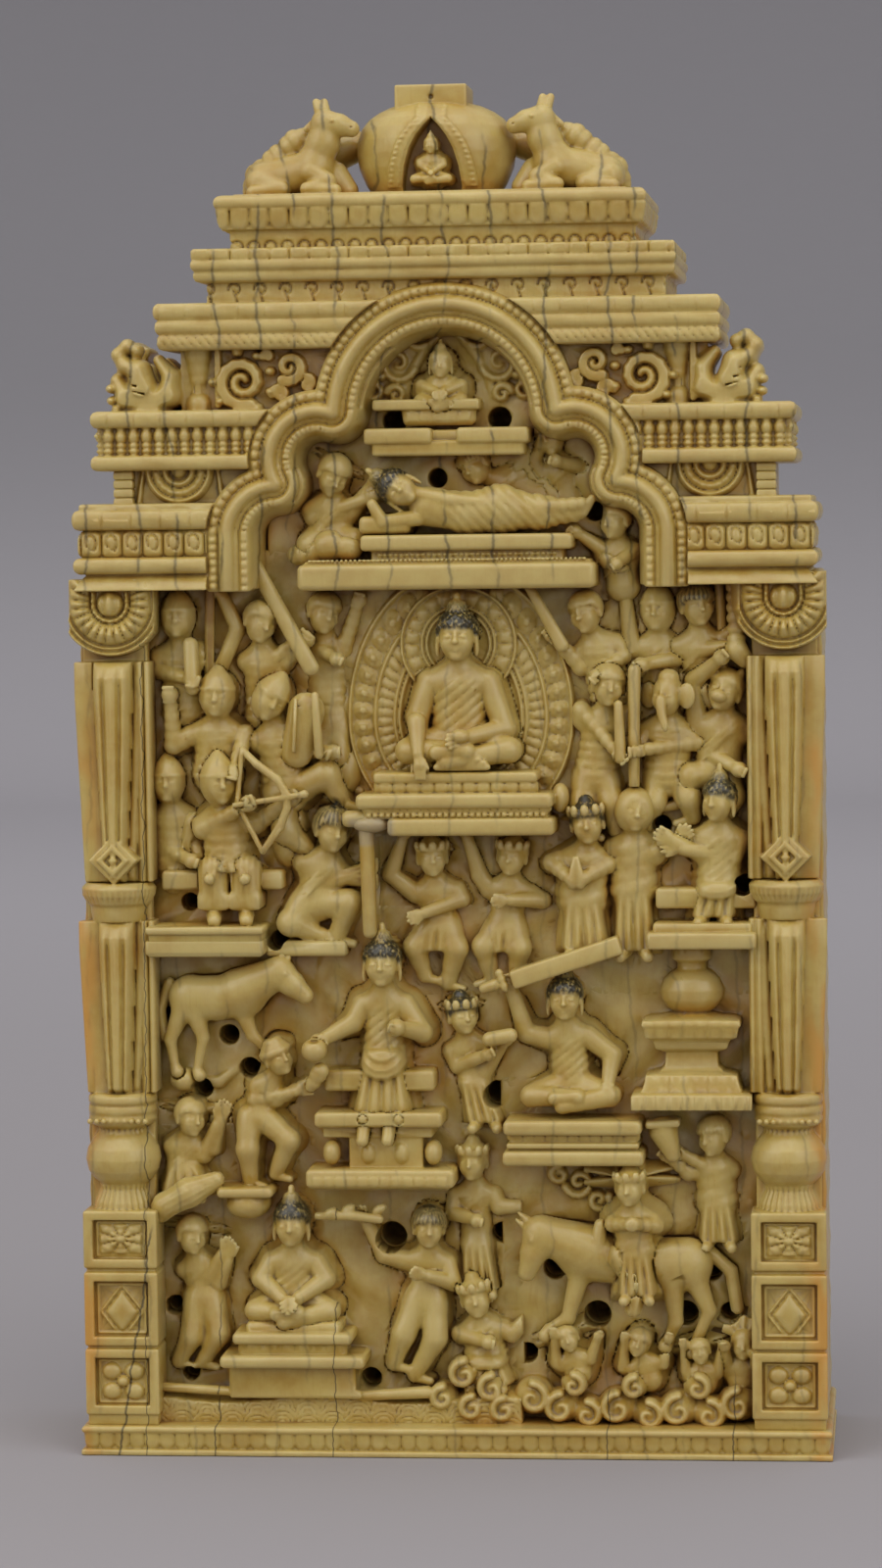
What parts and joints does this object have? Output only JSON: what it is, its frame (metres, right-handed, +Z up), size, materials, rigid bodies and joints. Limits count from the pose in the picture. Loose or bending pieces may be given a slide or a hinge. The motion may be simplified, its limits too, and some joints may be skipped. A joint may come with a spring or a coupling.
{
  "type": "relief plaque",
  "caption": "Upright carved ivory-coloured relief plaque: stepped cornices, cusped arch, two turned pillars and tiers of small figures.",
  "frame": {"origin": "middle of the flat underside of the plinth", "axes": "+Z up, the carved front faces -Y, +X to the viewer's right when looking along +Y"},
  "size_m": [0.0764, 0.024, 0.1389],
  "materials": {
    "carved_ivory": "carved and hand-polished ivory, cream to honey yellow, brown dirt in the hollows, fine upright age cracks"
  },
  "bodies": {
    "root": {"plaque": "carved_ivory"}
  },
  "joints": []
}
